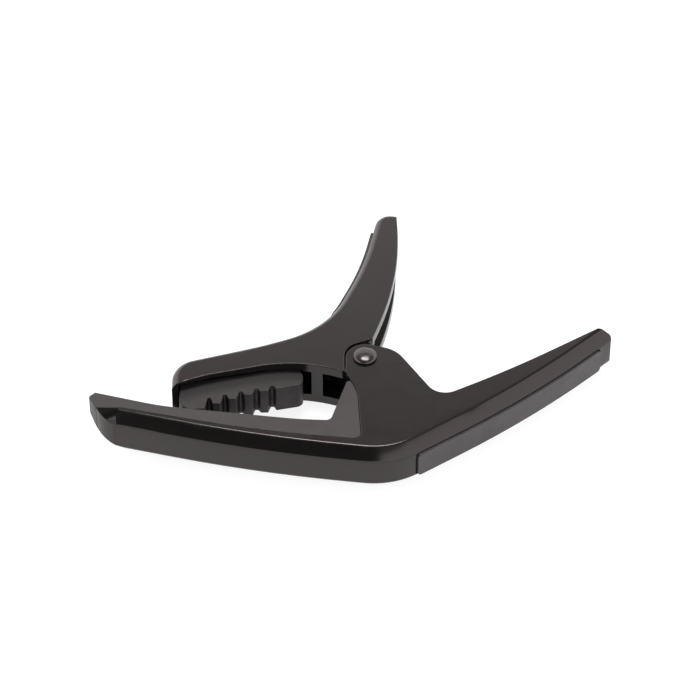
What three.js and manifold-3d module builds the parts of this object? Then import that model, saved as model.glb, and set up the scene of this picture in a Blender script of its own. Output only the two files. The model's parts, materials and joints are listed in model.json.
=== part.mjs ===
// A spring-loaded guitar capo, lying on its side. Millimetres, +Z up.
// The pivot axis is x = y = 0 and the underside is z = 0. The fixed arm points to -X, the fixed
// handle to +X, and the lever carries the jaw (to -X) and the thumb handle (to +Y).

import * as THREE from 'three';
import { mergeVertices } from 'three/addons/utils/BufferGeometryUtils.js';
import Module from 'manifold-3d';

const wasm = await Module();
wasm.setup();

// ---------------------------------------------------------------- driving dimensions

const THICKNESS = 11.6; // both castings, side to side
const EDGE_BEVEL = 2.5; // along the back of the frame
const BEVEL_SHOULDER = 0.33; // how far the rounding of each shoulder of that bevel reaches
const LEVER_BEVEL = 1.25; // along the back of the lever
const LEVER_SHOULDER = 0.4;
const CAST_EDGE = 0.2; // rounding of the castings' other edges
const PAD_EDGE = 0.18; // rounding of the pads' edges
const ARC_TOLERANCE = 0.015; // how far a facet may leave its arc
const FAR = 90; // outside the capo in any direction

const SIDE_PLATE = 2.35; // the lever's two side plates
const LOWER_PLATE_INSET = 0.45; // how far the lower one stands back on the finger side
const JAW_TIP_PLATE = 0.85; // the same plates at the jaw's tip, to which they taper
const LEVER_WALL = 1.4; // the lever's back wall, between the plates
const CROSS_WEB = { left: -11.9, right: -9.4 }; // full-height wall between pad pocket and spring pocket

const EAR = 1.9; // the frame's two ears at the pivot
const EAR_RADIUS = 4.3;
const SLOT_RADIUS = 5.3; // the room between the ears
const LUG = 1.3; // the lever's two lugs between the ears
const LUG_RADIUS = 4.4;
const LUG_ROOT = 1; // how deep the lug's neck runs into the side plate
const SLOT_ENTRY = { left: -9, front: -4.4, back: 9 }; // where the lugs enter between the ears
const SHANK_RADIUS = 2;
const BORE_RADIUS = 2.05;

const HEAD_RADIUS = 2.65;
const HEAD_RIM = 0.35; // height of the rim under the dome
const HEAD_HEIGHT = 1.25;
const HEAD_GAP = 0.02;
const BURR_RADIUS = 2.9;
const BURR_HEIGHT = 0.95;
const BURR_SEAT = { radius: 3, depth: 1 };

const WASHER = { inner: 2.1, outer: 4, height: 0.35, gap: 0.05 };
const SLEEVE = { inner: 2.1, outer: 2.9, gap: 0.1 };

const WIRE_RADIUS = 0.55;
const COIL_RADIUS = 3.9; // to the middle of the wire
const COIL_BOTTOM = 4.25; // height of the wire's middle where the coil starts
const COIL_TOP = 7.35;
const COIL_START = -Math.PI / 2;
const COIL_END = -THREE.MathUtils.degToRad(880);
const LEG_TO_FRAME = 9;
const LEG_TO_LEVER = 11.8;
const LEG_CLEARANCE = 0.2; // round the leg in the frame's groove
const WIRE_SIDES = 8;
const WIRE_STEPS = 84;

const STRING_PAD_GAP = 0.05; // to the frame
const NECK_PAD_GAP = 0.05; // to each side plate
const GROOVES = 5;
const GROOVE_PITCH = 3.46;
const GROOVE_HALF_WIDTH = 0.9; // at the mouth
const GROOVE_HALF_FLOOR = 0.3;
const GROOVE_MOUTH_EDGE = 0.3;
const GROOVE_FLOOR_EDGE = 0.25;
const GROOVE_DEPTHS = { deep: 2.65, shallow: 1.3 }; // at the jaw's tip, at the pivot

const INSERT_GAP = 0.28; // round each grip insert
const INSERT_BED = 0.1; // glue line under each grip insert
const INSERT_REACH = 8; // of an insert's window, to each side of its own plane
const FRAME_INSERT = { depth: 1.5, proud: 0.55, bottom: 2.5, top: 8.65, corner: 0.9 };
const LEVER_INSERT = { depth: 0.5, proud: 0.6, bottom: 1.8, top: 9.8, corner: 1.2 };

// ---------------------------------------------------------------- outlines: corners are [x, y, radius]

// The frame's back edge: arm, heel and handle. The rest of this outline lies outside the frame.
const BACK_OUTLINE = [
  [-FAR, -9.64, 0],
  [-22.98, -27.2, 302],
  [6.22, -30.94, 17],
  [36.49, -9.97, 237],
  [FAR, 41.5, 0],
  [FAR, FAR, 0],
  [-FAR, FAR, 0],
];

// The arm's end, seen from above, shared by the frame and the string pad.
const ARM_END_OUTLINE = [
  [-59.4, -11.1, 0.3],
  [-60.8, -12.4, 0.5],
  [-58, -18.06, 8],
  [-30, -25.4, 0],
  [-30, -FAR, 0],
  [FAR, -FAR, 0],
  [FAR, FAR, 0],
  [-59.4, FAR, 0],
];

// The arm's end, seen from the front as [x, z, radius]: the underside sweeps up to the tip.
const ARM_NOSE_OUTLINE = [
  [-60.95, 7.2, 1.5],
  [-57.3, 3.5, 12],
  [-45.2, 0, 30],
  [FAR, 0, 0],
  [FAR, 2 * THICKNESS, 0],
  [-60.95, 2 * THICKNESS, 0],
];

// To the left of its right end, a flatter facet takes the place of the arm's upper bevel. It starts
// at the string pad's edge and drops by its slope for each millimetre towards the back.
const TIP_FACET = { right: -54.1, edge: -15.85, slope: 0.776 };

// The frame's inner side, from the arm's tip round the throat, the ear and the finger side of the handle.
const FRAME_OUTLINE = [
  [-FAR, -FAR, 0],
  [-46.7, -FAR, 0],
  [56.04, 8.83, 0.65],
  [52.2, 9.4, 0.4],
  [31.6, -4.23, 250],
  [16.16, -12.44, 4.2],
  [6.91, 2.46, 7],
  [-EAR_RADIUS, 5.65, EAR_RADIUS],
  [-EAR_RADIUS, -4.5, 0.4],
  [-1.65, -10.7, 12],
  [-0.85, -25.45, 1.6],
  [-21.5, -23.4, 220],
  [-53.6, -15.95, 6],
  [-FAR, -15.75, 0],
];

// The face that meets the strings runs from the arm's end to the throat and up the throat wall.
const STRING_PAD_OUTLINE = [
  [-64, -15.85, 0],
  [-53.6, -15.95, 6],
  [-21.5, -23.4, 220],
  [-0.85, -25.45, 1.6],
  [-1.65, -10.7, 12],
  [-3.25, -7.3, 0.35],
  [-4.15, -7.7, 0.5],
  [-7.65, -19.6, 1.3],
  [-14.5, -19.3, 60],
  [-44.5, -15.3, 60],
  [-64, -9.75, 0],
];

// The lever's back edge: jaw, thumb handle and handle tip. The rest lies outside the lever.
const LEVER_BACK_OUTLINE = [
  [-42.7, -FAR, 0],
  [FAR, -FAR, 0],
  [FAR, 37.3, 0],
  [3.15, 48.6, 3.4],
  [-0.37, 30.84, 80],
  [-8.78, 10.44, 22.5],
  [-23.2, 4.67, 100],
  [-42.7, -1.24, 6],
];

// The lever's open side: the jaw's lower edge, the cut round the ear and the finger side of the handle.
const LEVER_OUTLINE = [
  [-FAR, -27.3, 0],
  [-35.2, -5.7, 25],
  [-14.85, -0.62, 30],
  [-4.6, -4.55, 0.4],
  [-4.6, 3.35, 4.4],
  [1.75, 6.1, 0.4],
  [8.34, 26.85, 94],
  [7.5, 46.6, 3],
  [7.4, FAR, 0],
  [-FAR, FAR, 0],
];

// The lug's neck, from the round lug to the inside of the lever.
const LUG_NECK_OUTLINE = [
  [-4.2, -1.2, 0],
  [0.6, 4.3, 0],
  [2.4, 8.6, 0.5],
  [-9, 9.5, 0.5],
  [-9.2, 1.2, 0.5],
];

// The neck pad's lands lie on an arc that hugs the back of a guitar neck.
const PAD_ARC = { x: 2.3, y: -90.8, radius: 86 };
const PAD_LEFT = -41;
const PAD_RIGHT = -13.75;
const PAD_TOE = { y: -14.2, radius: 3 }; // the pad's front corner at the jaw's tip
const FIRST_LAND = -13.75; // y of the land next to it
const FIRST_GROOVE = -34.43; // x of the groove nearest to the jaw's tip
const PAD_HEEL_RADIUS = 1.7;

// The pad's back, just inside the jaw's channel, from the pivot's side to the jaw's tip.
const PAD_BACK = [
  [PAD_RIGHT, -1.6, 2],
  [-20.5, -1.7, 12],
  [-38.6, -5.3, 8],
  [PAD_LEFT, -6, 0.8],
];

// The pad's tongue, which fills the middle of the channel behind the pad.
const PAD_TONGUE_HEIGHT = 4.4;
const PAD_TONGUE_OUTLINE = [
  [-38.2, -7.5, 0.5],
  [-15.2, -4.2, 0.5],
  [-15.2, 0.2, 0.5],
  [-21, 1.5, 0.5],
  [-37.2, -3.5, 1],
];

// ---------------------------------------------------------------- materials

function paintedMetal(color) {
  return new THREE.MeshStandardMaterial({ color, roughness: 0.35, metalness: 0.4 });
}

function rubber(color) {
  return new THREE.MeshStandardMaterial({ color, roughness: 0.75, metalness: 0 });
}

function bareMetal(color) {
  return new THREE.MeshStandardMaterial({ color, roughness: 0.25, metalness: 1 });
}

// ---------------------------------------------------------------- shapes and solids

// Replaces each corner of a closed outline by an arc of the corner's own radius.
function roundedPoints(corners) {
  const points = [];
  corners.forEach(([x, y, radius], i) => {
    const corner = new THREE.Vector2(x, y);
    const [beforeX, beforeY] = corners.at(i - 1);
    const [afterX, afterY] = corners[(i + 1) % corners.length];
    const back = new THREE.Vector2(beforeX, beforeY).sub(corner).normalize();
    const ahead = new THREE.Vector2(afterX, afterY).sub(corner).normalize();
    if (radius === 0) {
      points.push(corner);
      return;
    }
    const halfAngle = Math.acos(THREE.MathUtils.clamp(back.dot(ahead), -1, 1)) / 2;
    const middle = back.clone().add(ahead).normalize();
    const centre = corner.clone().addScaledVector(middle, radius / Math.sin(halfAngle));
    const start = corner.clone().addScaledVector(back, radius / Math.tan(halfAngle));
    const turn = Math.PI - 2 * halfAngle;
    const side = Math.sign(back.cross(ahead)) || 1;
    const step = 2 * Math.acos(1 - ARC_TOLERANCE / radius);
    const steps = Math.max(2, Math.ceil(turn / step));
    for (let k = 0; k <= steps; k += 1) {
      points.push(start.clone().rotateAround(centre, (-side * turn * k) / steps));
    }
  });
  return points;
}

function outline(corners) {
  return new THREE.Shape(roundedPoints(corners));
}

// Moves every edge of a counterclockwise outline outwards, keeping its arcs concentric.
function grown(corners, distance) {
  return corners.map(([x, y, radius], i) => {
    const corner = new THREE.Vector2(x, y);
    const [beforeX, beforeY] = corners.at(i - 1);
    const [afterX, afterY] = corners[(i + 1) % corners.length];
    const arriving = corner.clone().sub(new THREE.Vector2(beforeX, beforeY)).normalize();
    const leaving = new THREE.Vector2(afterX, afterY).sub(corner).normalize();
    const normalIn = new THREE.Vector2(arriving.y, -arriving.x);
    const normalOut = new THREE.Vector2(leaving.y, -leaving.x);
    const shift = normalIn.clone().add(normalOut).divideScalar(1 + normalIn.dot(normalOut));
    corner.addScaledVector(shift, distance);
    const bend = Math.sign(arriving.cross(leaving));
    return [corner.x, corner.y, radius === 0 ? 0 : radius + bend * distance];
  });
}

function solidOf(geometry) {
  geometry.deleteAttribute('normal');
  geometry.deleteAttribute('uv');
  const merged = mergeVertices(geometry, 1e-4);
  const vertProperties = new Float32Array(merged.attributes.position.array);
  const triVerts = new Uint32Array(merged.index.array);
  return new wasm.Manifold(new wasm.Mesh({ numProp: 3, vertProperties, triVerts }));
}

function slab(shape, bottom, top) {
  const geometry = new THREE.ExtrudeGeometry(shape, { depth: top - bottom, bevelEnabled: false });
  return solidOf(geometry.translate(0, 0, bottom));
}

// A slab whose upper and lower edges are cut off: inset is measured across it, drop along its height.
function edgedSlab(shape, bottom, top, inset, drop, segments) {
  const geometry = new THREE.ExtrudeGeometry(shape, {
    depth: top - bottom - 2 * drop,
    bevelThickness: drop,
    bevelSize: inset,
    bevelOffset: -inset,
    bevelSegments: segments,
  });
  return solidOf(geometry.translate(0, 0, bottom + drop));
}

function roundedSlab(shape, bottom, top, radius) {
  return edgedSlab(shape, bottom, top, radius, radius, 2);
}

// A slab with a bevel of 45 degrees, whose two shoulders are each softened by a narrow cut of half the turn.
function bevelledSlab(shape, bevel, shoulder) {
  const reach = bevel + shoulder;
  const rise = reach * Math.tan(Math.PI / 8);
  return edgedSlab(shape, 0, THICKNESS, bevel, bevel, 1)
    .intersect(edgedSlab(shape, 0, THICKNESS, reach, rise, 1))
    .intersect(edgedSlab(shape, 0, THICKNESS, rise, reach, 1));
}

function box(left, right, front, back, bottom, top) {
  const geometry = new THREE.BoxGeometry(right - left, back - front, top - bottom);
  return solidOf(geometry.translate((left + right) / 2, (front + back) / 2, (bottom + top) / 2));
}

// A solid of revolution about the pivot axis, from its profile of [radius, height] points.
function turned(profile, segments = 48) {
  const points = profile.map(([radius, height]) => new THREE.Vector2(radius, height));
  return solidOf(new THREE.LatheGeometry(points, segments).rotateX(Math.PI / 2));
}

function disc(radius, bottom, top) {
  return turned([[0, bottom], [radius, bottom], [radius, top], [0, top]]);
}

function ring(inner, outer, bottom, top) {
  return disc(outer, bottom, top).subtract(disc(inner, bottom - 1, top + 1));
}

function piece(name, solid, material) {
  const { vertProperties, triVerts } = solid.getMesh();
  const geometry = new THREE.BufferGeometry();
  geometry.setAttribute('position', new THREE.BufferAttribute(vertProperties, 3));
  geometry.setIndex(new THREE.BufferAttribute(triVerts, 1));
  geometry.computeVertexNormals();
  const mesh = new THREE.Mesh(geometry, material);
  mesh.name = name;
  return mesh;
}

// ---------------------------------------------------------------- grip inserts

// A window with round corners in a plane that stands on the line from start to end, pushed through
// the back of a casting. It is the footprint of a grip insert or of its recess.
function backWindow(start, end, bottom, top, corner) {
  const along = new THREE.Vector2(end[0] - start[0], end[1] - start[1]);
  const length = along.length();
  const shape = outline([
    [0, bottom, corner],
    [length, bottom, corner],
    [length, top, corner],
    [0, top, corner],
  ]);
  const geometry = new THREE.ExtrudeGeometry(shape, { depth: 2 * INSERT_REACH, bevelEnabled: false });
  geometry.translate(0, 0, -INSERT_REACH);
  geometry.rotateX(Math.PI / 2);
  geometry.rotateZ(along.angle());
  return solidOf(geometry.translate(start[0], start[1], 0));
}

// The layer of a casting's back between two depths, inside a window.
function backLayer(backOutline, inner, outer, window) {
  const skin = slab(outline(grown(backOutline, outer)), 0, THICKNESS);
  const core = slab(outline(grown(backOutline, -inner)), -1, THICKNESS + 1);
  return skin.subtract(core).intersect(window);
}

function insertWindow(insert, start, end, margin) {
  const along = new THREE.Vector2(end[0] - start[0], end[1] - start[1]).setLength(margin);
  const from = [start[0] - along.x, start[1] - along.y];
  const to = [end[0] + along.x, end[1] + along.y];
  return backWindow(from, to, insert.bottom - margin, insert.top + margin, insert.corner + margin);
}

const FRAME_INSERT_ENDS = [[11.2, -27.4], [52.9, 5.15]];
const LEVER_INSERT_ENDS = [[-7.2, 15.4], [2.5, 43.7]];

function frameInsertRecess() {
  const window = insertWindow(FRAME_INSERT, ...FRAME_INSERT_ENDS, INSERT_GAP);
  return backLayer(BACK_OUTLINE, FRAME_INSERT.depth, 1, window);
}

function frameInsert() {
  const window = insertWindow(FRAME_INSERT, ...FRAME_INSERT_ENDS, 0);
  return backLayer(BACK_OUTLINE, FRAME_INSERT.depth - INSERT_BED, FRAME_INSERT.proud, window);
}

function leverInsertRecess() {
  const window = insertWindow(LEVER_INSERT, ...LEVER_INSERT_ENDS, INSERT_GAP);
  return backLayer(LEVER_BACK_OUTLINE, LEVER_INSERT.depth, 1, window);
}

function leverInsert() {
  const window = insertWindow(LEVER_INSERT, ...LEVER_INSERT_ENDS, 0);
  return backLayer(LEVER_BACK_OUTLINE, LEVER_INSERT.depth - INSERT_BED, LEVER_INSERT.proud, window);
}

// ---------------------------------------------------------------- frame side

// A prism along Y, from its outline in X and Z.
function prismAlongY(shape, front, back) {
  const geometry = new THREE.ExtrudeGeometry(shape, { depth: back - front, bevelEnabled: false });
  geometry.rotateX(Math.PI / 2);
  return solidOf(geometry.translate(0, back, 0));
}

// A prism along X, from its outline in Y and Z.
function prismAlongX(shape, left, right) {
  const geometry = new THREE.ExtrudeGeometry(shape, { depth: right - left, bevelEnabled: false });
  geometry.rotateX(Math.PI / 2);
  geometry.rotateZ(Math.PI / 2);
  return solidOf(geometry.translate(left, 0, 0));
}

function armEnd() {
  const nose = prismAlongY(outline(ARM_NOSE_OUTLINE), -FAR, FAR);
  return roundedSlab(outline(ARM_END_OUTLINE), -1, THICKNESS, CAST_EDGE).intersect(nose);
}

// The arm's tip under the facet, down to the plain lower part of its walls.
function facetedTip() {
  const bottom = THICKNESS / 3;
  const underFacet = outline([
    [TIP_FACET.edge - (THICKNESS - bottom) / TIP_FACET.slope, bottom, 0],
    [FAR, bottom, 0],
    [FAR, THICKNESS, 0],
    [TIP_FACET.edge, THICKNESS, 0],
  ]);
  return slab(outline(BACK_OUTLINE), 0, THICKNESS).intersect(prismAlongX(underFacet, -FAR, TIP_FACET.right));
}

// The room between the ears for the lever's lugs and the spring, with the groove for the spring's leg.
function hingeSlot() {
  const room = disc(SLOT_RADIUS, EAR, THICKNESS - EAR);
  const entry = box(SLOT_ENTRY.left, 0, SLOT_ENTRY.front, SLOT_ENTRY.back, EAR, THICKNESS - EAR);
  const reach = WIRE_RADIUS + LEG_CLEARANCE;
  const groove = box(
    0,
    LEG_TO_FRAME + LEG_CLEARANCE,
    -COIL_RADIUS - reach,
    -COIL_RADIUS + reach,
    COIL_BOTTOM - reach,
    COIL_BOTTOM + reach,
  );
  return room.add(entry).add(groove);
}

function bodyFrame() {
  return bevelledSlab(outline(BACK_OUTLINE), EDGE_BEVEL, BEVEL_SHOULDER)
    .subtract(box(-FAR - 1, TIP_FACET.right, -FAR - 1, FAR + 1, THICKNESS / 2, THICKNESS + 1))
    .add(facetedTip())
    .intersect(roundedSlab(outline(FRAME_OUTLINE), 0, THICKNESS, CAST_EDGE))
    .intersect(armEnd())
    .subtract(hingeSlot())
    .subtract(disc(BORE_RADIUS, -1, THICKNESS + 1))
    .subtract(disc(BURR_SEAT.radius, -1, BURR_SEAT.depth))
    .subtract(frameInsertRecess());
}

function stringPad() {
  const shape = outline(grown(STRING_PAD_OUTLINE, -STRING_PAD_GAP));
  return roundedSlab(shape, 0, THICKNESS, PAD_EDGE).intersect(armEnd());
}

// ---------------------------------------------------------------- pivot

function pivotRivet() {
  const seat = THICKNESS + HEAD_GAP;
  const rim = seat + HEAD_RIM;
  const dome = HEAD_HEIGHT - HEAD_RIM;
  const profile = [[0, 0], [SHANK_RADIUS, 0], [SHANK_RADIUS, seat], [HEAD_RADIUS, seat]];
  const steps = 6;
  for (let k = 0; k <= steps; k += 1) {
    const angle = (k / steps) * (Math.PI / 2);
    profile.push([HEAD_RADIUS * Math.cos(angle), rim + dome * Math.sin(angle)]);
  }
  profile[profile.length - 1][0] = 0;
  return turned(profile);
}

function rivetBurr() {
  return ring(SHANK_RADIUS + HEAD_GAP, BURR_RADIUS, 0, BURR_HEIGHT);
}

function washer(bottom) {
  return ring(WASHER.inner, WASHER.outer, bottom, bottom + WASHER.height);
}

function springSleeve() {
  const bottom = SIDE_PLATE + LUG + SLEEVE.gap;
  return ring(SLEEVE.inner, SLEEVE.outer, bottom, THICKNESS - bottom);
}

// The spring's wire: a leg along the frame's groove, the coil, and a leg up the lever's channel.
class SpringPath extends THREE.Curve {
  getPoint(t, target = new THREE.Vector3()) {
    const coilLength = COIL_RADIUS * Math.abs(COIL_END - COIL_START);
    const along = t * (LEG_TO_FRAME + coilLength + LEG_TO_LEVER) - LEG_TO_FRAME;
    if (along < 0) {
      return target.set(-along, -COIL_RADIUS, COIL_BOTTOM);
    }
    const turn = Math.min(along / coilLength, 1);
    const angle = THREE.MathUtils.lerp(COIL_START, COIL_END, turn);
    const height = THREE.MathUtils.lerp(COIL_BOTTOM, COIL_TOP, turn);
    const beyond = Math.max(along - coilLength, 0);
    const x = COIL_RADIUS * Math.cos(angle) + beyond * Math.sin(angle);
    const y = COIL_RADIUS * Math.sin(angle) - beyond * Math.cos(angle);
    return target.set(x, y, height);
  }
}

function torsionSpring() {
  const wire = new THREE.Shape();
  wire.absarc(0, 0, WIRE_RADIUS, 0, 2 * Math.PI);
  const geometry = new THREE.ExtrudeGeometry(wire, {
    steps: WIRE_STEPS,
    curveSegments: WIRE_SIDES,
    bevelEnabled: false,
    extrudePath: new SpringPath(),
  });
  return solidOf(geometry);
}

// ---------------------------------------------------------------- lever side

// The room inside the jaw, which grows taller towards the tip as the plates taper.
function jawRoom() {
  const flare = outline([
    [PAD_LEFT, JAW_TIP_PLATE, 0],
    [CROSS_WEB.left, SIDE_PLATE, 0],
    [CROSS_WEB.left, THICKNESS - SIDE_PLATE, 0],
    [PAD_LEFT, THICKNESS - JAW_TIP_PLATE, 0],
    [PAD_LEFT - LEVER_WALL, THICKNESS - JAW_TIP_PLATE, 0],
    [PAD_LEFT - LEVER_WALL, JAW_TIP_PLATE, 0],
  ]);
  return prismAlongY(flare, -FAR, FAR);
}

function leverChannel() {
  const shape = outline(grown(LEVER_BACK_OUTLINE, -LEVER_WALL));
  const inside = slab(shape, SIDE_PLATE, THICKNESS - SIDE_PLATE);
  const flared = slab(shape, 0, THICKNESS).intersect(jawRoom());
  return inside.add(flared).subtract(box(CROSS_WEB.left, CROSS_WEB.right, -FAR, FAR, 0, THICKNESS));
}

function lugs() {
  const lower = disc(LUG_RADIUS, SIDE_PLATE, SIDE_PLATE + LUG)
    .add(slab(outline(LUG_NECK_OUTLINE), SIDE_PLATE - LUG_ROOT, SIDE_PLATE + LUG)
      .subtract(disc(SLOT_RADIUS, -1, SIDE_PLATE)));
  return lower.add(lower.mirror([0, 0, 1]).translate([0, 0, THICKNESS]));
}

// The lever as its open side bounds it. The finger side is the part of that outline to the right of the pivot.
function leverOpenSide() {
  const insetOutline = LEVER_OUTLINE.map(([x, y, radius]) => [x > 0 ? x - LOWER_PLATE_INSET : x, y, radius]);
  const upperHalf = box(-FAR - 1, FAR + 1, -FAR - 1, FAR + 1, THICKNESS / 2, THICKNESS + 1);
  return roundedSlab(outline(LEVER_OUTLINE), 0, THICKNESS, CAST_EDGE)
    .intersect(upperHalf)
    .add(roundedSlab(outline(insetOutline), 0, THICKNESS, CAST_EDGE));
}

function lever() {
  const channelled = bevelledSlab(outline(LEVER_BACK_OUTLINE), LEVER_BEVEL, LEVER_SHOULDER)
    .intersect(leverOpenSide())
    .subtract(leverChannel());
  return channelled
    .add(lugs())
    .subtract(disc(BORE_RADIUS, -1, THICKNESS + 1))
    .subtract(leverInsertRecess());
}

// The height y of the neck pad's contact arc.
function padArcAt(x) {
  return PAD_ARC.y + Math.sqrt(PAD_ARC.radius ** 2 - (x - PAD_ARC.x) ** 2);
}

// The pad's front edge is a row of flat lands, each at its own height on the arc, with a groove between
// each two. The last land, towards the pivot, is longer and follows the arc to the pad's end.
function neckPadOutline() {
  const corners = [[PAD_LEFT, PAD_TOE.y, PAD_TOE.radius]];
  let landHeight = FIRST_LAND;
  for (let k = 0; k < GROOVES; k += 1) {
    const middle = FIRST_GROOVE + k * GROOVE_PITCH;
    const fade = (1 - k / (GROOVES - 1)) ** 2;
    const floor = padArcAt(middle) + THREE.MathUtils.lerp(GROOVE_DEPTHS.shallow, GROOVE_DEPTHS.deep, fade);
    const isLast = k === GROOVES - 1;
    const nextHeight = padArcAt(middle + (isLast ? GROOVE_HALF_WIDTH : GROOVE_PITCH / 2));
    corners.push([middle - GROOVE_HALF_WIDTH, landHeight, GROOVE_MOUTH_EDGE]);
    corners.push([middle - GROOVE_HALF_FLOOR, floor, GROOVE_FLOOR_EDGE]);
    corners.push([middle + GROOVE_HALF_FLOOR, floor, GROOVE_FLOOR_EDGE]);
    corners.push([middle + GROOVE_HALF_WIDTH, nextHeight, GROOVE_MOUTH_EDGE]);
    landHeight = nextHeight;
  }
  corners.push([PAD_RIGHT, padArcAt(PAD_RIGHT), PAD_HEEL_RADIUS]);
  return outline([...corners, ...PAD_BACK]);
}

function neckPad() {
  const bottom = SIDE_PLATE + NECK_PAD_GAP;
  const tongueBottom = (THICKNESS - PAD_TONGUE_HEIGHT) / 2;
  return roundedSlab(neckPadOutline(), bottom, THICKNESS - bottom, PAD_EDGE)
    .add(slab(outline(PAD_TONGUE_OUTLINE), tongueBottom, THICKNESS - tongueBottom));
}

// ---------------------------------------------------------------- assembly

const group = new THREE.Group();
group.add(
  piece('body_frame', bodyFrame(), paintedMetal(0x3a3634)),
  piece('string_pad', stringPad(), rubber(0x4c494a)),
  piece('handle_grip_insert', frameInsert(), rubber(0x4a4648)),
  piece('pivot_rivet', pivotRivet(), bareMetal(0x4b4846)),
  piece('rivet_burr', rivetBurr(), bareMetal(0x4b4846)),
  piece('lower_washer', washer(EAR + WASHER.gap), bareMetal(0xb59a5a)),
  piece('upper_washer', washer(THICKNESS - EAR - WASHER.gap - WASHER.height), bareMetal(0xb59a5a)),
  piece('spring_sleeve', springSleeve(), rubber(0x202020)),
  piece('torsion_spring', torsionSpring(), bareMetal(0x8c8c8e)),
  piece('lever', lever(), paintedMetal(0x423e3c)),
  piece('neck_pad', neckPad(), rubber(0x454243)),
  piece('lever_grip_insert', leverInsert(), rubber(0x2a2827)),
);

export default group;
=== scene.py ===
"""Looks of a spring-loaded guitar capo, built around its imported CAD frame. Metres, +Z up."""

import json
import math

import bmesh
import bpy
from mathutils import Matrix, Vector

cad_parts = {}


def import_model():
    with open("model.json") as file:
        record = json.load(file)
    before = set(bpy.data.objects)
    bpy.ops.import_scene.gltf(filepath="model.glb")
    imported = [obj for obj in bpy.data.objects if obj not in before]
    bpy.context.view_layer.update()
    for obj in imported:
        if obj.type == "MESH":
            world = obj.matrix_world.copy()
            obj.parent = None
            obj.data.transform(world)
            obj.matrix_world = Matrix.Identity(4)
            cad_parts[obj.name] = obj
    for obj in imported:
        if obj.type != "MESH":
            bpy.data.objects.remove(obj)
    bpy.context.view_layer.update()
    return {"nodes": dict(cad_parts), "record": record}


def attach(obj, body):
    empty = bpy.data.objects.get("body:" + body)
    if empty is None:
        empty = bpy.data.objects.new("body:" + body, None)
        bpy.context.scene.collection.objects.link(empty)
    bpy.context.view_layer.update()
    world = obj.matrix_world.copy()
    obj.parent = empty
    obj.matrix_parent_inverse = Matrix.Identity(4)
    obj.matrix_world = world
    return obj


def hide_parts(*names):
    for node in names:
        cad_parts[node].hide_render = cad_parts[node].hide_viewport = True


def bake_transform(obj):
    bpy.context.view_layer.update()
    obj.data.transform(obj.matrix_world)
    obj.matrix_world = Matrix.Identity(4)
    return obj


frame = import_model()

MM = 0.001

# ---------------------------------------------------------------- sizes

# Clean-up of the CAD meshes.
WELD = 0.002 * MM
FLAT_ANGLE = math.radians(0.3)
SMOOTH_ANGLE = math.radians(52)
EDGE_ANGLE = math.radians(58)
EDGE_SEGMENTS = 2
FACE_WEIGHT = 90

# The castings.
THICKNESS = 11.6 * MM
SIDE_PLATE = 2.35 * MM
PLATE_MARGIN = 0.02 * MM
LEVEL_FACE = 0.9

# The rivet. Its steps are the facets around it and along its arcs.
HEAD_RADIUS = 2.65 * MM
HEAD_RIM = 0.35 * MM
HEAD_HEIGHT = 1.25 * MM
HEAD_GAP = 0.02 * MM
SHANK_RADIUS = 2.0 * MM
RIVET_ROUNDING = 0.12 * MM
AROUND_RIVET = 96
TAIL_STEPS = 3
RIM_STEPS = 4
DOME_STEPS = 22
ON_AXIS = 1e-7

# The spring: a coil about the pivot with a straight leg at each end.
WIRE_RADIUS = 0.55 * MM
WIRE_END = 0.8
COIL_RADIUS = 3.9 * MM
COIL_BOTTOM = 4.25 * MM
COIL_TOP = 7.35 * MM
COIL_START = -math.pi / 2
COIL_END = -math.radians(880)
COIL_LENGTH = COIL_RADIUS * abs(COIL_END - COIL_START)
LEG_TO_FRAME = 9 * MM
LEG_TO_LEVER = 11.8 * MM
AROUND_WIRE = 20
ALONG_WIRE = 300

# Each piece that keeps its CAD shape, with the width of its rounded edges in millimetres.
FRAME_NODES = {
    "body_frame": 0.12,
    "string_pad": 0.0,
    "handle_grip_insert": 0.25,
    "rivet_burr": 0.12,
    "lower_washer": 0.05,
    "upper_washer": 0.05,
    "spring_sleeve": 0.05,
}
LEVER_NODES = {"lever": 0.1, "neck_pad": 0.0, "lever_grip_insert": 0.15}

# ---------------------------------------------------------------- material nodes


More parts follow.
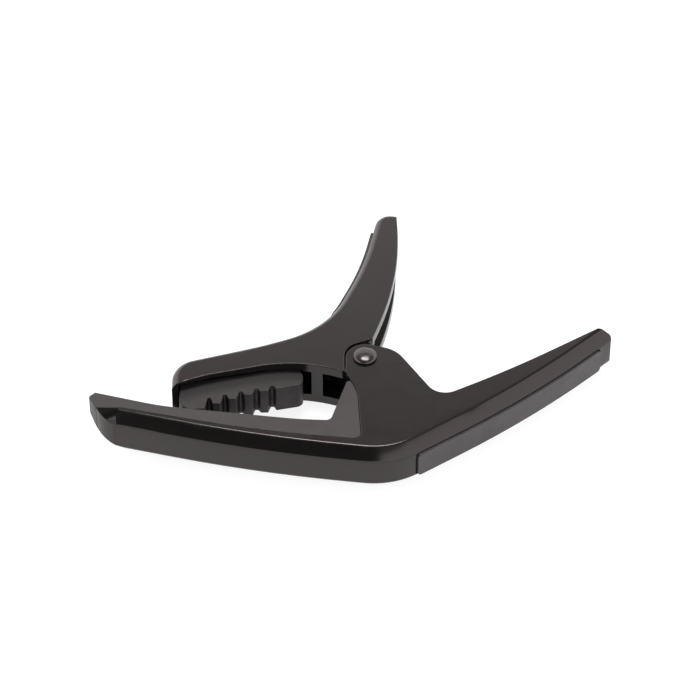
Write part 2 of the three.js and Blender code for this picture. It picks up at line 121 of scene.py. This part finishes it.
class Nodes:
    """Builds the nodes of one material."""

    def __init__(self, name):
        self.material = bpy.data.materials.new(name)
        self.material.use_nodes = True
        self.tree = self.material.node_tree
        self.shader = self.tree.nodes["Principled BSDF"]
        self.place = self.new("ShaderNodeTexCoord").outputs["Object"]

    def new(self, kind, **settings):
        node = self.tree.nodes.new(kind)
        for key, value in settings.items():
            setattr(node, key, value)
        return node

    def feed(self, node, socket, value):
        target = node.inputs[socket]
        if isinstance(value, bpy.types.NodeSocket):
            self.tree.links.new(value, target)
        else:
            target.default_value = value

    def noise(self, size, detail=3.0, roughness=0.55, stretch=(1, 1, 1)):
        """A noise whose blobs are about this size, in metres."""
        spread = self.new("ShaderNodeMapping")
        self.feed(spread, "Vector", self.place)
        spread.inputs["Scale"].default_value = stretch
        node = self.new("ShaderNodeTexNoise")
        self.feed(node, "Vector", spread.outputs["Vector"])
        self.feed(node, "Scale", 0.5 / size)
        self.feed(node, "Detail", detail)
        self.feed(node, "Roughness", roughness)
        return node.outputs["Fac"]

    def grains(self, size):
        """Distance to the nearest grain, for a pebbled surface."""
        node = self.new("ShaderNodeTexVoronoi")
        self.feed(node, "Vector", self.place)
        self.feed(node, "Scale", 1 / size)
        return node.outputs["Distance"]

    def ranged(self, value, low, high, to_low=0.0, to_high=1.0):
        node = self.new("ShaderNodeMapRange", interpolation_type="SMOOTHSTEP")
        self.feed(node, "Value", value)
        self.feed(node, "From Min", low)
        self.feed(node, "From Max", high)
        self.feed(node, "To Min", to_low)
        self.feed(node, "To Max", to_high)
        return node.outputs["Result"]

    def product(self, a, b):
        node = self.new("ShaderNodeMath", operation="MULTIPLY")
        self.feed(node, 0, a)
        self.feed(node, 1, b)
        return node.outputs["Value"]

    def mixed(self, factor, a, b):
        """A mix of two colours, each a socket or three numbers."""
        node = self.new("ShaderNodeMix", data_type="RGBA")
        self.feed(node, "Factor", factor)
        for socket, colour in ((6, a), (7, b)):
            linked = isinstance(colour, bpy.types.NodeSocket)
            self.feed(node, socket, colour if linked else (*colour, 1))
        return node.outputs[2]

    def edges(self, radius):
        """0 on flat areas, rising to 1 on edges sharper than this radius."""
        rounded = self.new("ShaderNodeBevel", samples=6)
        self.feed(rounded, "Radius", radius)
        plain = self.new("ShaderNodeNewGeometry")
        alike = self.new("ShaderNodeVectorMath", operation="DOT_PRODUCT")
        self.feed(alike, 0, rounded.outputs["Normal"])
        self.feed(alike, 1, plain.outputs["Normal"])
        return self.ranged(alike.outputs["Value"], 0.995, 0.86)

    def bump(self, height, distance, strength=1.0, below=None):
        node = self.new("ShaderNodeBump")
        self.feed(node, "Height", height)
        self.feed(node, "Distance", distance)
        self.feed(node, "Strength", strength)
        if below is not None:
            self.feed(node, "Normal", below)
        return node.outputs["Normal"]

    def finish(self, colour, roughness, normal, **uniform):
        self.feed(self.shader, "Base Color", colour)
        self.feed(self.shader, "Roughness", roughness)
        self.feed(self.shader, "Normal", normal)
        for socket, value in uniform.items():
            self.shader.inputs[socket.replace("_", " ")].default_value = value
        return self.material


# ---------------------------------------------------------------- materials

WARM_GLOSS = (1.0, 0.89, 0.885, 1.0)
WORN_COLOUR = (0.30, 0.29, 0.28)
WEAR = 0.25

# Slot: darker colour, lighter colour, roughness, depth of the orange peel.
PAINTS = {
    "frame_paint": ((0.0060, 0.0054, 0.0053), (0.0076, 0.0068, 0.0066), 0.17, 0.4),
    "lever_paint": ((0.0070, 0.0063, 0.0061), (0.0088, 0.0079, 0.0077), 0.19, 0.5),
}
# Slot: darker colour, lighter colour, roughness, depth of the grain.
RUBBERS = {
    "string_pad_rubber": ((0.019, 0.0178, 0.0185), (0.026, 0.0243, 0.0252), 0.5, 0.8),
    "neck_pad_rubber": ((0.015, 0.0141, 0.0147), (0.021, 0.0197, 0.0204), 0.52, 0.8),
    "handle_insert": ((0.027, 0.0242, 0.0262), (0.036, 0.0325, 0.035), 0.36, 0.4),
    "lever_insert": ((0.013, 0.012, 0.0122), (0.018, 0.0168, 0.017), 0.42, 0.6),
    "sleeve_plastic": ((0.012, 0.012, 0.012), (0.02, 0.02, 0.02), 0.5, 0.4),
}
# Slot: darker colour, lighter colour, roughness, squeeze of the lines along each axis.
METALS = {
    "rivet_metal": ((0.070, 0.065, 0.063), (0.095, 0.088, 0.086), 0.25, (1, 1, 1)),
    "burr_metal": ((0.075, 0.070, 0.068), (0.12, 0.11, 0.107), 0.34, (1, 1, 1)),
    "washer_brass": ((0.42, 0.31, 0.13), (0.62, 0.49, 0.24), 0.3, (1, 1, 6)),
    "spring_steel": ((0.30, 0.30, 0.31), (0.52, 0.52, 0.53), 0.26, (1, 1, 8)),
}


def paint(name, dark, light, gloss, peel):
    """Stoved paint over a casting: faint orange peel, uneven gloss, thin bright spots on worn edges."""
    n = Nodes(name)
    cloud = n.noise(6 * MM, 4)
    colour = n.mixed(n.ranged(cloud, 0.25, 0.75), dark, light)
    specks = n.ranged(n.noise(0.5 * MM, 5, 0.7), 0.5, 0.72)
    worn = n.product(n.product(n.edges(0.25 * MM), specks), WEAR)
    colour = n.mixed(worn, colour, WORN_COLOUR)
    smear = n.noise(2.2 * MM, 3, 0.6, (1, 1.6, 1))
    roughness = n.ranged(smear, 0.3, 0.7, gloss - 0.01, gloss + 0.015)
    fine = n.bump(n.noise(0.3 * MM, 2), 0.002 * MM * peel, 0.5)
    normal = n.bump(n.noise(1.5 * MM, 2), 0.008 * MM * peel, 0.5, fine)
    n.feed(n.shader, "Metallic", n.product(worn, 0.8))
    return n.finish(colour, roughness, normal, IOR=1.5, Specular_Tint=WARM_GLOSS)


def raw_casting(name, dark, light):
    """The unpolished inside of a casting: paint over a sandy skin."""
    n = Nodes(name)
    cloud = n.noise(3 * MM, 5)
    colour = n.mixed(n.ranged(cloud, 0.3, 0.7), dark, light)
    roughness = n.ranged(n.noise(1.1 * MM, 4), 0.3, 0.7, 0.42, 0.6)
    fine = n.bump(n.noise(0.12 * MM, 3), 0.02 * MM, 0.7)
    normal = n.bump(n.noise(0.45 * MM, 4), 0.05 * MM, 0.7, fine)
    return n.finish(colour, roughness, normal, IOR=1.5, Specular_Tint=WARM_GLOSS)


def rubber(name, dark, light, rough, grain):
    """Moulded rubber: pebbled skin, faint flow marks, paler rubbed edges."""
    n = Nodes(name)
    flow = n.noise(5 * MM, 4, 0.6, (0.35, 1, 1))
    colour = n.mixed(n.ranged(flow, 0.32, 0.68), dark, light)
    patches = n.ranged(n.noise(0.9 * MM, 4), 0.42, 0.66)
    rubbed = n.product(n.edges(0.3 * MM), patches)
    pale = tuple(1.9 * c for c in light)
    colour = n.mixed(n.product(rubbed, 0.5), colour, pale)
    roughness = n.ranged(n.noise(1.3 * MM, 4), 0.3, 0.7, rough - 0.07, rough + 0.07)
    pebble = n.bump(n.grains(0.22 * MM), 0.008 * MM * grain, 0.5)
    normal = n.bump(n.noise(0.5 * MM, 3), 0.014 * MM * grain, 0.5, pebble)
    return n.finish(colour, roughness, normal, IOR=1.48, Specular_Tint=WARM_GLOSS)


def metal(name, dark, light, rough, stretch):
    """Bare drawn or turned metal: fine lines along one direction and dull patches."""
    n = Nodes(name)
    patches = n.noise(1.2 * MM, 4)
    colour = n.mixed(n.ranged(patches, 0.35, 0.7), dark, light)
    lines = n.noise(0.08 * MM, 2, 0.5, stretch)
    roughness = n.ranged(n.noise(0.5 * MM, 3), 0.3, 0.7, rough - 0.06, rough + 0.08)
    normal = n.bump(lines, 0.004 * MM, 0.6)
    return n.finish(colour, roughness, normal, Metallic=1.0)


MATERIALS = {slot: paint(slot, *look) for slot, look in PAINTS.items()}
MATERIALS["lever_inside"] = raw_casting("lever_inside", (0.010, 0.0095, 0.009), (0.017, 0.016, 0.015))
MATERIALS.update({slot: rubber(slot, *look) for slot, look in RUBBERS.items()})
MATERIALS.update({slot: metal(slot, *look) for slot, look in METALS.items()})

# ---------------------------------------------------------------- meshes


def new_object(name, mesh, slot, body=None):
    """A visible piece, attached to a body when one is given."""
    obj = bpy.data.objects.new(name, mesh)
    bpy.context.scene.collection.objects.link(obj)
    mesh.materials.clear()
    mesh.materials.append(MATERIALS[slot])
    if body is not None:
        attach(obj, body)
    return obj


def as_mesh(bm, name):
    """Turns the faces outwards and writes them to a new mesh."""
    bmesh.ops.recalc_face_normals(bm, faces=bm.faces)
    mesh = bpy.data.meshes.new(name)
    bm.to_mesh(mesh)
    bm.free()
    return mesh


def soften(mesh):
    """Smooth shading over roundings, with the sharper edges kept."""
    mesh.shade_smooth()
    mesh.set_sharp_from_angle(angle=SMOOTH_ANGLE)


def shade(obj):
    """Smooth shading weighted by face area, so that flat faces stay flat."""
    soften(obj.data)
    weighted = obj.modifiers.new("weighted", "WEIGHTED_NORMAL")
    weighted.mode = "FACE_AREA"
    weighted.weight = FACE_WEIGHT
    weighted.keep_sharp = True


def round_edges(obj, width):
    bevel = obj.modifiers.new("edges", "BEVEL")
    bevel.width = width
    bevel.segments = EDGE_SEGMENTS
    bevel.limit_method = "ANGLE"
    bevel.angle_limit = EDGE_ANGLE
    bevel.use_clamp_overlap = True
    bevel.miter_outer = "MITER_ARC"


def refined(node, body, edge):
    """A piece with the shape of a CAD node, welded, with its flat areas joined and its edges rounded."""
    bm = bmesh.new()
    bm.from_mesh(frame["nodes"][node].data)
    bmesh.ops.remove_doubles(bm, verts=bm.verts, dist=WELD)
    bmesh.ops.dissolve_degenerate(bm, edges=bm.edges, dist=WELD)
    bmesh.ops.dissolve_limit(bm, verts=bm.verts, edges=bm.edges, angle_limit=FLAT_ANGLE)
    mesh = as_mesh(bm, node + "_skin")
    slot = next(s["material_slot"] for s in frame["record"]["subparts"] if s["node"] == node)
    piece = new_object(node + "_skin", mesh, slot, body)
    if edge > 0:
        round_edges(piece, edge)
    shade(piece)
    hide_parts(node)
    return piece


def coat_inside(piece):
    """Gives the channel between the lever's side plates its rougher cast skin."""
    piece.data.materials.append(MATERIALS["lever_inside"])
    low = SIDE_PLATE - PLATE_MARGIN
    high = THICKNESS - SIDE_PLATE + PLATE_MARGIN
    for face in piece.data.polygons:
        if low < face.center.z < high and abs(face.normal.z) > LEVEL_FACE:
            face.material_index = 1


def angles_around(count):
    return [2 * math.pi * k / count for k in range(count)]


def bridge(bm, low, high):
    """Faces between two rings of the same number of points, where a ring may be one point repeated."""
    count = len(low)
    for k in range(count):
        after = (k + 1) % count
        corners = [low[k], low[after], high[after], high[k]]
        bm.faces.new(list(dict.fromkeys(corners)))


def lathe(profile):
    """A closed solid of revolution about the pivot axis, from its [radius, height] points."""
    bm = bmesh.new()
    rings = []
    for radius, height in profile:
        if radius < ON_AXIS:
            rings.append([bm.verts.new((0, 0, height))] * AROUND_RIVET)
            continue
        turns = angles_around(AROUND_RIVET)
        rings.append([bm.verts.new((radius * math.cos(t), radius * math.sin(t), height)) for t in turns])
    for low, high in zip(rings, rings[1:]):
        bridge(bm, low, high)
    return bm


def arc(centre, radius, start, end, steps):
    """Points of a profile along an arc, angles in degrees."""
    angles = [math.radians(start + (end - start) * k / steps) for k in range(steps + 1)]
    return [(centre[0] + radius[0] * math.cos(a), centre[1] + radius[1] * math.sin(a)) for a in angles]


def rivet():
    """The rivet: shank, head with a soft rim and a low dome."""
    seat = THICKNESS + HEAD_GAP
    soft = (RIVET_ROUNDING, RIVET_ROUNDING)
    tail = SHANK_RADIUS - RIVET_ROUNDING
    rim = HEAD_RADIUS - RIVET_ROUNDING
    profile = [(0, 0), (tail, 0)]
    profile += arc((tail, RIVET_ROUNDING), soft, -90, 0, TAIL_STEPS)
    profile += [(SHANK_RADIUS, seat), (rim, seat)]
    profile += arc((rim, seat + RIVET_ROUNDING), soft, -90, 0, RIM_STEPS)
    profile += arc((0, seat + HEAD_RIM), (HEAD_RADIUS, HEAD_HEIGHT - HEAD_RIM), 0, 90, DOME_STEPS)
    profile[-1] = (0, profile[-1][1])
    piece = new_object("rivet", as_mesh(lathe(profile), "rivet"), "rivet_metal", "frame_body")
    shade(piece)
    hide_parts("pivot_rivet")


def spring_point(along):
    """The middle of the spring's wire at a distance from the coil's start: negative in the frame's leg."""
    if along < 0:
        return Vector((-along, -COIL_RADIUS, COIL_BOTTOM))
    turn = min(along / COIL_LENGTH, 1)
    angle = COIL_START + (COIL_END - COIL_START) * turn
    height = COIL_BOTTOM + (COIL_TOP - COIL_BOTTOM) * turn
    beyond = max(along - COIL_LENGTH, 0)
    x = COIL_RADIUS * math.cos(angle) + beyond * math.sin(angle)
    y = COIL_RADIUS * math.sin(angle) - beyond * math.cos(angle)
    return Vector((x, y, height))


def wire_ring(bm, points, k):
    """The ring of the wire round its point k, square to the way the wire runs there."""
    last = len(points) - 1
    ahead = (points[min(k + 1, last)] - points[max(k - 1, 0)]).normalized()
    side = Vector((0, 0, 1)).cross(ahead).normalized()
    up = ahead.cross(side)
    radius = WIRE_RADIUS * (WIRE_END if k in (0, last) else 1)
    spokes = [math.cos(t) * side + math.sin(t) * up for t in angles_around(AROUND_WIRE)]
    return [bm.verts.new(points[k] + radius * spoke) for spoke in spokes]


def spring():
    """The torsion spring: a round wire with softened ends, swept along its legs and coil."""
    total = LEG_TO_FRAME + COIL_LENGTH + LEG_TO_LEVER
    points = [spring_point(total * k / ALONG_WIRE - LEG_TO_FRAME) for k in range(ALONG_WIRE + 1)]
    bm = bmesh.new()
    rings = [wire_ring(bm, points, k) for k in range(ALONG_WIRE + 1)]
    for low, high in zip(rings, rings[1:]):
        bridge(bm, low, high)
    bm.faces.new(rings[0][::-1])
    bm.faces.new(rings[-1])
    piece = new_object("spring_wire", as_mesh(bm, "spring_wire"), "spring_steel")
    soften(piece.data)
    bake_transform(piece)
    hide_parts("torsion_spring")


for node, edge in FRAME_NODES.items():
    refined(node, "frame_body", edge * MM)
for node, edge in LEVER_NODES.items():
    piece = refined(node, "lever_body", edge * MM)
    if node == "lever":
        coat_inside(piece)
rivet()
spring()

# ---------------------------------------------------------------- studio

CAMERA_PLACE = (-0.003333, -0.560004, 0.554553)
CAMERA_TILT = math.radians(46)
CAMERA_LENS = 180.5
CAMERA_SENSOR = 36
CAMERA_RANGE = (0.01, 20)

FLOOR_SPAN = 4
FLOOR_DROP = 0.02 * MM
FLOOR_COLOURS = ((0.29, 0.29, 0.29), (0.31, 0.31, 0.31))
FLOOR_CLOUD = 0.2
FLOOR_GLOW = 0.86

LAMP = {"place": (0.0, 0.2, 0.8), "aim": (-0.01, -0.01, 0), "size": (0.3, 0.26), "power": 3.6}

# Strengths of the room's light, and angles in degrees where one passes into the next.
WALLS, CEILING = 1.8, 0.3
CEILING_EDGE = (44.5, 49.5)
PATCH_DIRECTION = (-0.24, -0.72, 0.58)
PATCH, AROUND_PATCH = 0.01, 1.0
PATCH_EDGE = (17, 27)
ROOM_COLOUR = (1, 0.985, 0.97, 1)


def place_in_scene(name, data):
    obj = bpy.data.objects.new(name, data)
    bpy.context.scene.collection.objects.link(obj)
    return obj


def camera():
    data = bpy.data.cameras.new("camera")
    data.lens = CAMERA_LENS
    data.sensor_width = CAMERA_SENSOR
    data.clip_start, data.clip_end = CAMERA_RANGE
    obj = place_in_scene("camera", data)
    obj.location = CAMERA_PLACE
    obj.rotation_euler = (CAMERA_TILT, 0, 0)
    bpy.context.scene.camera = obj


def floor():
    """A pale floor just below the capo, which glows a little so that its shadow stays soft."""
    bm = bmesh.new()
    bmesh.ops.create_grid(bm, x_segments=2, y_segments=2, size=FLOOR_SPAN)
    mesh = bpy.data.meshes.new("floor")
    bm.to_mesh(mesh)
    bm.free()
    obj = place_in_scene("floor", mesh)
    obj.location.z = -FLOOR_DROP
    n = Nodes("floor")
    n.feed(n.shader, "Base Color", n.mixed(n.noise(FLOOR_CLOUD), *FLOOR_COLOURS))
    n.shader.inputs["Roughness"].default_value = 0.9
    n.shader.inputs["Specular IOR Level"].default_value = 0.1
    n.shader.inputs["Emission Color"].default_value = (1, 1, 1, 1)
    n.shader.inputs["Emission Strength"].default_value = FLOOR_GLOW
    mesh.materials.append(n.material)


def softbox(name, place, aim, size, power):
    data = bpy.data.lights.new(name, "AREA")
    data.shape = "RECTANGLE"
    data.size, data.size_y = size
    data.energy = power
    obj = place_in_scene(name, data)
    obj.location = place
    direction = Vector(aim) - Vector(place)
    obj.rotation_euler = direction.to_track_quat("-Z", "Y").to_euler()
    obj.visible_camera = False


def lobe(tree, direction, edge, away, near):
    """A value near one direction that passes into another away from it, between two angles in degrees."""
    place = tree.nodes.new("ShaderNodeTexCoord")
    product = tree.nodes.new("ShaderNodeVectorMath")
    product.operation = "DOT_PRODUCT"
    tree.links.new(place.outputs["Generated"], product.inputs[0])
    product.inputs[1].default_value = Vector(direction).normalized()
    inner, outer = edge
    ramp = tree.nodes.new("ShaderNodeMapRange")
    ramp.interpolation_type = "SMOOTHSTEP"
    tree.links.new(product.outputs["Value"], ramp.inputs["Value"])
    ramp.inputs["From Min"].default_value = math.cos(math.radians(outer))
    ramp.inputs["From Max"].default_value = math.cos(math.radians(inner))
    ramp.inputs["To Min"].default_value = away
    ramp.inputs["To Max"].default_value = near
    return ramp.outputs["Result"]


def world():
    """A pale room with a darker ceiling, and a dark patch in front that shows in the arm's bevel."""
    room = bpy.data.worlds.new("room")
    bpy.context.scene.world = room
    room.use_nodes = True
    tree = room.node_tree
    sky = lobe(tree, (0, 0, 1), CEILING_EDGE, WALLS, CEILING)
    dark = lobe(tree, PATCH_DIRECTION, PATCH_EDGE, AROUND_PATCH, PATCH)
    product = tree.nodes.new("ShaderNodeMath")
    product.operation = "MULTIPLY"
    tree.links.new(sky, product.inputs[0])
    tree.links.new(dark, product.inputs[1])
    background = tree.nodes["Background"]
    tree.links.new(product.outputs["Value"], background.inputs["Strength"])
    background.inputs["Color"].default_value = ROOM_COLOUR


camera()
floor()
world()
softbox("overhead", **LAMP)
bpy.context.scene.view_settings.view_transform = "Standard"
bpy.context.scene.view_settings.look = "None"
